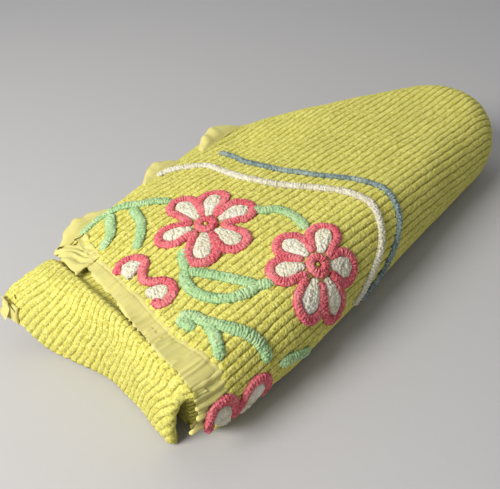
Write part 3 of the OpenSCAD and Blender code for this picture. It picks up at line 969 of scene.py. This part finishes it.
def curvePoints(path, closed):      # a smooth curve through a few chosen points
    path = np.array(path, float)
    count = len(path)
    spans = count if closed else count - 1
    out = []
    for k in range(spans):
        if closed:
            p0, p1, p2, p3 = (path[(k + d) % count] for d in (-1, 0, 1, 2))
        else:
            p0, p1, p2, p3 = (path[min(max(k + d, 0), count - 1)] for d in (-1, 0, 1, 2))
        f = np.linspace(0, 1, 40, endpoint=False)[:, None]
        out.append(0.5 * (2 * p1 + (p2 - p0) * f + (2 * p0 - 5 * p1 + 4 * p2 - p3) * f ** 2
                          + (3 * p1 - p0 - 3 * p2 + p3) * f ** 3))
    if not closed:
        out.append(path[-1:])
    return np.concatenate(out)


def evenly(points, closed, step):
    loop = np.concatenate([points, points[:1]]) if closed else points
    far = np.concatenate([[0], np.cumsum(np.linalg.norm(np.diff(loop, axis=0), axis=1))])
    count = max(8, int(far[-1] / step))
    at = np.linspace(0, far[-1], count, endpoint=not closed)
    return np.stack([np.interp(at, far, loop[:, k]) for k in (0, 1)], -1), at


def joinStrips(name, strips, finish, nodes):      # one piece from several grids
    points, faces, cloth, piles = [], [], [], []
    total = 0
    for p, quads, coords, pile in strips:
        faces.append(quads + total)
        total += p.shape[0] * p.shape[1]
        points.append(p.reshape(-1, 3))
        cloth.append(coords.reshape(-1, 3))
        piles.append(pile.ravel())
    piece = makePiece(name, np.concatenate(points), [np.concatenate(faces)], finish,
                      {"cloth": np.concatenate(cloth), "pile": np.concatenate(piles)})
    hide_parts(*nodes)
    return piece


def seated(flat, up):      # points that stand up from the outer layer
    p, n = outerFace(flat[..., 0], flat[..., 1])
    return p + n * (lines["seat"] + up)[..., None]


def linePiece(name, paths, finish, slotName, nodes, seed, closed=False, width=None, height=None):
    width = width or lines["width"]
    height = height or lines["height"]
    strips = []
    for number, path in enumerate(paths):
        route, run = evenly(np.array(path), closed, lines["step"])
        if closed:
            way = unit(np.roll(route, -3, 0) - np.roll(route, 3, 0))
        else:
            way = unit(np.gradient(route, axis=0))
        aside = np.stack([-way[:, 1], way[:, 0]], -1)
        phi = np.linspace(0, math.pi, lines["sides"])
        s = run[:, None] + 0 * phi
        lean = lines["lean"] * ripple(run, 0 * run + number, 0.007, seed)[:, None] * np.cos(phi)
        lean = lean + 0.0008 * ripple(s, np.cos(phi) * width / 2 + 0 * s, 0.003, seed + 4)
        k = np.floor((s + lean) / lines["loop"])
        beat = np.abs(np.sin(math.pi * (s + lean) / lines["loop"])) ** 0.6
        size = 0.82 + 0.36 * scatter(k, 0 * k + number, seed + 1)
        bulk = 0.62 + 0.38 * beat * size
        across = np.cos(phi) * (width / 2) * (0.84 + 0.16 * beat * size)
        across = across * (1 + 0.12 * ripple(s, np.cos(phi) + 0 * s, 0.0055, seed + 2))
        up = np.sin(phi) ** 0.75 * height * bulk
        up = up + lines["fray"] * np.sin(phi) * (lumps(s, across, lines["fraySize"], seed + 3) - 0.55)
        edge = np.sign(np.cos(phi)) * width + 0 * s
        across = across * (0.92 + 0.16 * lumps(s, edge, lines["edgeSize"], seed + 5))
        if not closed:
            ends = np.sqrt(np.clip(np.minimum(run, run[-1] - run) / (width * 0.45), 0.02, 1))[:, None]
            across = across * ends
            up = up * ends
        p = seated(route[:, None, :] + aside[:, None, :] * across[..., None], up)
        rows, columns = p.shape[:2]
        quads = gridFaces(rows + (1 if closed else 0), columns)
        if closed:
            quads = np.where(quads >= rows * columns, quads - rows * columns, quads)
        # pile falls at the line's edges and between its loops, where the yarn finish paints shade
        pile = np.clip(np.sin(phi) * (0.45 + 0.55 * beat) * 1.1, 0, 1)
        strips.append((p, quads, np.stack([s, across, pile], -1), pile))
    return joinStrips(name, strips, finish, nodes)


flowers = {
    "flower_left": {"centre": (0.159, -0.097), "seed": 101,      # petals as directions and lengths
                    "petals": [(-13, 0.069), (43, 0.074), (84, 0.080),
                               (157, 0.066), (227, 0.074), (275, 0.070)]},
    "flower_right": {"centre": (0.208, -0.244), "seed": 151,
                     "petals": [(-27, 0.062), (40, 0.068), (97, 0.066),
                                (152, 0.064), (222, 0.068), (273, 0.070)]},
}
petalShape = {"halfOutline": 0.0175, "halfFill": 0.0124, "start": 0.0165, "fillHeight": 0.0060,
              "lump": 0.0036, "dip": 0.0235, "dimple": 0.35}
ringShape = {"radius": 0.0098, "width": 0.0125, "height": 0.0062}
dotShape = {"half": 0.003, "bend": 0.0005, "width": 0.0062, "height": 0.0055}


def towards(degrees):
    return np.array([math.cos(math.radians(degrees)), math.sin(math.radians(degrees))])


def petalLoop(centre, angle, reach, sweep=118):      # round a petal's end, from side to side
    half = petalShape["halfOutline"]
    hub = np.array(centre) + (reach - half - lines["width"] / 2) * towards(angle)
    a = math.radians(angle) + np.radians(np.linspace(-sweep, sweep, 14))
    return hub + half * np.stack([np.cos(a), np.sin(a)], -1)


def flowerRoute(centre, petals):      # dips towards the centre between neighbours
    stops = []
    count = len(petals)
    for k, (angle, reach) in enumerate(petals):
        stops.append(petalLoop(centre, angle, reach))
        after = petals[(k + 1) % count][0]
        between = towards(angle + ((after - angle) % 360) / 2)
        stops.append((np.array(centre) + petalShape["dip"] * between)[None])
    return curvePoints(np.concatenate(stops), True)


def petalFill(name, centre, petals, node, seed, keep=None):
    strips = []
    for number, (angle, reach) in enumerate(petals):
        way = towards(angle)
        aside = np.array([-way[1], way[0]])
        f = np.linspace(0, 1, 46)[:, None]
        v = np.linspace(-1, 1, 30)[None]
        end = reach - lines["width"] + 0.0005
        start = petalShape["start"]
        if keep is not None:
            start = max(start, (keep - centre[0]) / way[0])
        wide = petalShape["halfFill"] * (0.42 + 0.58 * smooth(f / 0.62))
        wide = wide * np.sqrt(np.clip(1 - (np.maximum(f - 0.66, 0) / 0.34) ** 2, 0.01, 1))
        wide = wide * np.sqrt(np.clip(1 - (np.maximum(0.10 - f, 0) / 0.10) ** 2, 0.05, 1))
        x = start + (end - start) * f + 0 * v
        y = wide * v
        y = y * (1 + 0.10 * ripple(x, np.sign(v) + 0 * x, 0.005, seed + number))
        flat = np.array(centre) + x[..., None] * way + y[..., None] * aside
        dome = np.sqrt(np.clip(1 - v ** 2, 0, 1)) * np.sqrt(np.clip(4 * f * (1.04 - f) + 0.12, 0, 1))
        lump = lumps(x, y, petalShape["lump"], seed + 7 + number)
        up = petalShape["fillHeight"] * dome ** 0.6 * (0.50 + 0.50 * lump)
        dimple = np.exp(-((f - 0.62) / 0.07) ** 2 - (v / 0.22) ** 2)
        up = up * (1 - petalShape["dimple"] * dimple)
        up = up + 0.0005 * ripple(x, y, 0.0018, seed + 9) * (dome > 0.2)
        p = seated(flat, up)
        # pile falls at the petal's edges and between its lumps, where the yarn finish paints shade
        pile = np.clip(dome * (0.45 + 0.55 * lump), 0, 1)
        strips.append((p, gridFaces(*p.shape[:2]), np.stack([x, y + 0.03 * number, pile], -1), pile))
    return joinStrips(name, strips, whiteYarn, [node])


def circleRoute(centre, radius):
    a = np.linspace(0, 2 * math.pi, 48, endpoint=False)
    return np.array(centre) + radius * np.stack([np.cos(a), np.sin(a)], -1)


def flowerPieces():
    for node, flower in flowers.items():
        name = node.replace("_l", "L").replace("_r", "R")
        centre, seed = flower["centre"], flower["seed"]
        linePiece(name + "Outline", [flowerRoute(centre, flower["petals"])], pinkYarn, "pink_chenille",
                  [node + "_outline"], seed, True)
        petalFill(name + "Petals", centre, flower["petals"], node + "_petals", seed + 20)
        linePiece(name + "Ring", [circleRoute(centre, ringShape["radius"])], pinkYarn, "pink_chenille",
                  [node + "_ring"], seed + 3, True, ringShape["width"], ringShape["height"])
        half = dotShape["half"]
        dot = np.array([(-half, 0), (0, dotShape["bend"]), (half, 0)]) + np.array(centre)
        linePiece(name + "Centre", [dot], yellowTufts, "yellow_tufts", [node + "_centre"], seed + 5,
                  False, dotShape["width"], dotShape["height"])


flowerPieces()

hemFlower = {"centre": (0.030, -0.117), "petals": [(-50, 0.060), (52, 0.064)], "edge": 0.044}
sideFlower = {"centre": (0.048, -0.362), "petals": [(50, 0.070), (112, 0.070)]}


def partFlower(name, node, flower, seed, keep=None):      # a flower of which only two petals show
    centre = flower["centre"]
    first, second = flower["petals"]
    dip = np.array(centre) + petalShape["dip"] * towards((first[0] + second[0]) / 2)
    route = np.concatenate([petalLoop(centre, *first), [dip], petalLoop(centre, *second)])
    if keep is not None:
        route[:, 0] = np.maximum(route[:, 0], keep)
    linePiece(name + "Outline", [curvePoints(route, False)], pinkYarn, "pink_chenille",
              [node + "_outline"], seed)
    petalFill(name + "Petals", centre, flower["petals"], node + "_petals", seed + 20, keep)


partFlower("flowerHem", "flower_hem", hemFlower, 201, hemFlower["edge"])
partFlower("flowerSide", "flower_side", sideFlower, 251)


def mm(points):
    return [(x / 1000, y / 1000) for x, y in points]


routes = {
    "leafOutline": [[(92, -146), (107, -164), (121, -190), (132, -218), (110, -216), (92, -202), (82, -180),
                     (83, -158)]],
    "leafStem": [[(113, -112), (104, -124), (95, -141)], [(131, -217), (142, -224), (152, -229)]],
    "vineLeft": [[(163, -18), (150, 2), (132, 17), (108, 34), (80, 40), (53, 31)]],
    "vineLeftBranches": [[(98, 30), (84, 8), (72, -8), (52, -20)],
                         [(122, 16), (117, -2), (112, -20), (96, -44), (78, -62)]],
    "vineMiddle": [[(219, -113), (224, -127), (237, -138), (244, -156), (242, -176), (235, -192)]],
    "vineLower": [[(51, -187), (60, -203), (66, -221), (77, -242), (90, -261), (97, -280), (99, -300)]],
    "vineLowerBranches": [[(65, -219), (61, -234), (56, -248), (49, -263)],
                          [(46, -190), (48, -200), (49, -209), (53, -216)]],
    "vineSide": [[(112, -312), (136, -318), (168, -326)]],
    "scallopWhite": [[(194, 66), (228, 50), (252, 22), (254, -20), (258, -57), (272, -93), (303, -135),
                      (325, -175), (332, -205), (329, -231), (321, -254), (307, -274), (288, -292),
                      (262, -320)]],
    "scallopBlue": [[(288, 42), (293, 12), (291, -25), (298, -65), (316, -98), (342, -140), (362, -178),
                     (367, -208), (364, -240), (354, -262), (336, -282), (312, -302), (284, -326)]],
}


def snake(name):      # flowerLeft becomes flower_left
    return "".join("_" + letter.lower() if letter.isupper() else letter for letter in name)


def routeLines():
    yarns = {"scallopWhite": ("white", whiteYarn), "scallopBlue": ("blue", blueYarn)}
    for number, (name, paths) in enumerate(routes.items()):
        closed = name == "leafOutline"
        curves = [curvePoints(mm(path), closed) for path in paths]
        tint, yarn = yarns.get(name, ("green", greenYarn))
        linePiece(name, curves, yarn, tint + "_chenille", [snake(name)], 300 + number, closed, lines[tint])


routeLines()


print("studio: floor, lights and camera")

studio = {
    "floor": colour(0.50, 0.49, 0.485), "floorHalf": 4.0, "lightsAt": (0, 0, 0.05),
    "key": {"place": (-1.7, 0.5, 1.5), "size": 1.2, "power": 55.0, "tint": (1.0, 0.98, 0.95)},
    "fill": {"place": (0.6, 1.2, 1.8), "size": 1.8, "power": 7.0, "tint": (0.96, 0.98, 1.0)},
    "sky": {"tint": colour(0.93, 0.95, 1.0), "strength": 0.32},
}
lookFrom = {
    "place": (-0.62955, -0.42210, 0.60177),
    "azimuth": math.radians(-52.24), "elevation": math.radians(38.81), "roll": math.radians(-4.44),
    "lens": 47.13,
}


def makeFloor():
    paint = Paint("paleFloor")
    speck = paint.noise(60, 4)
    hue = paint.blend(speck.within(0.3, 0.7) * 0.08, studio["floor"], colour(0.5, 0.5, 0.5))
    paint.finish(hue, 0.85 - speck * 0.05, speck, 0.0002,
                 {"weight": 0.0, "roughness": 0.5, "tint": colour(1, 1, 1)})
    mesh = bpy.data.meshes.new("studioFloor")
    half = studio["floorHalf"]
    corners = [(-half, -half, 0), (half, -half, 0), (half, half, 0), (-half, half, 0)]
    mesh.from_pydata(corners, [], [(0, 1, 2, 3)])
    mesh.materials.append(paint.material)
    floor = bpy.data.objects.new("studioFloor", mesh)
    bpy.context.collection.objects.link(floor)


def softLight(name, look):
    lamp = bpy.data.lights.new(name, "AREA")
    lamp.shape = "DISK"
    lamp.size = look["size"]
    lamp.energy = look["power"]
    lamp.color = look["tint"]
    light = bpy.data.objects.new(name, lamp)
    light.location = look["place"]
    aim = Vector(studio["lightsAt"]) - Vector(look["place"])
    light.rotation_euler = aim.to_track_quat("-Z", "Y").to_euler()
    bpy.context.collection.objects.link(light)


def makeSky():
    world = bpy.data.worlds.new("studioSky")
    world.use_nodes = True
    backdrop = world.node_tree.nodes["Background"]
    backdrop.inputs["Color"].default_value = studio["sky"]["tint"]
    backdrop.inputs["Strength"].default_value = studio["sky"]["strength"]
    bpy.context.scene.world = world
    bpy.context.scene.view_settings.view_transform = "Standard"


def makeCamera():
    az, el, roll = lookFrom["azimuth"], lookFrom["elevation"], lookFrom["roll"]
    right = Vector((math.cos(az), math.sin(az), 0))
    back = Vector((math.sin(az) * math.cos(el), -math.cos(az) * math.cos(el), math.sin(el)))
    up = back.cross(right)
    rolledRight = math.cos(roll) * right + math.sin(roll) * up
    rolledUp = -math.sin(roll) * right + math.cos(roll) * up
    lens = bpy.data.cameras.new("camera")
    lens.lens = lookFrom["lens"]
    lens.sensor_width = 36
    camera = bpy.data.objects.new("camera", lens)
    turn = Matrix((rolledRight, rolledUp, back)).transposed().to_4x4()
    camera.matrix_world = Matrix.Translation(lookFrom["place"]) @ turn
    bpy.context.collection.objects.link(camera)
    bpy.context.scene.camera = camera


makeFloor()
softLight("keyLight", studio["key"])
softLight("fillLight", studio["fill"])
makeSky()
makeCamera()

print("done")
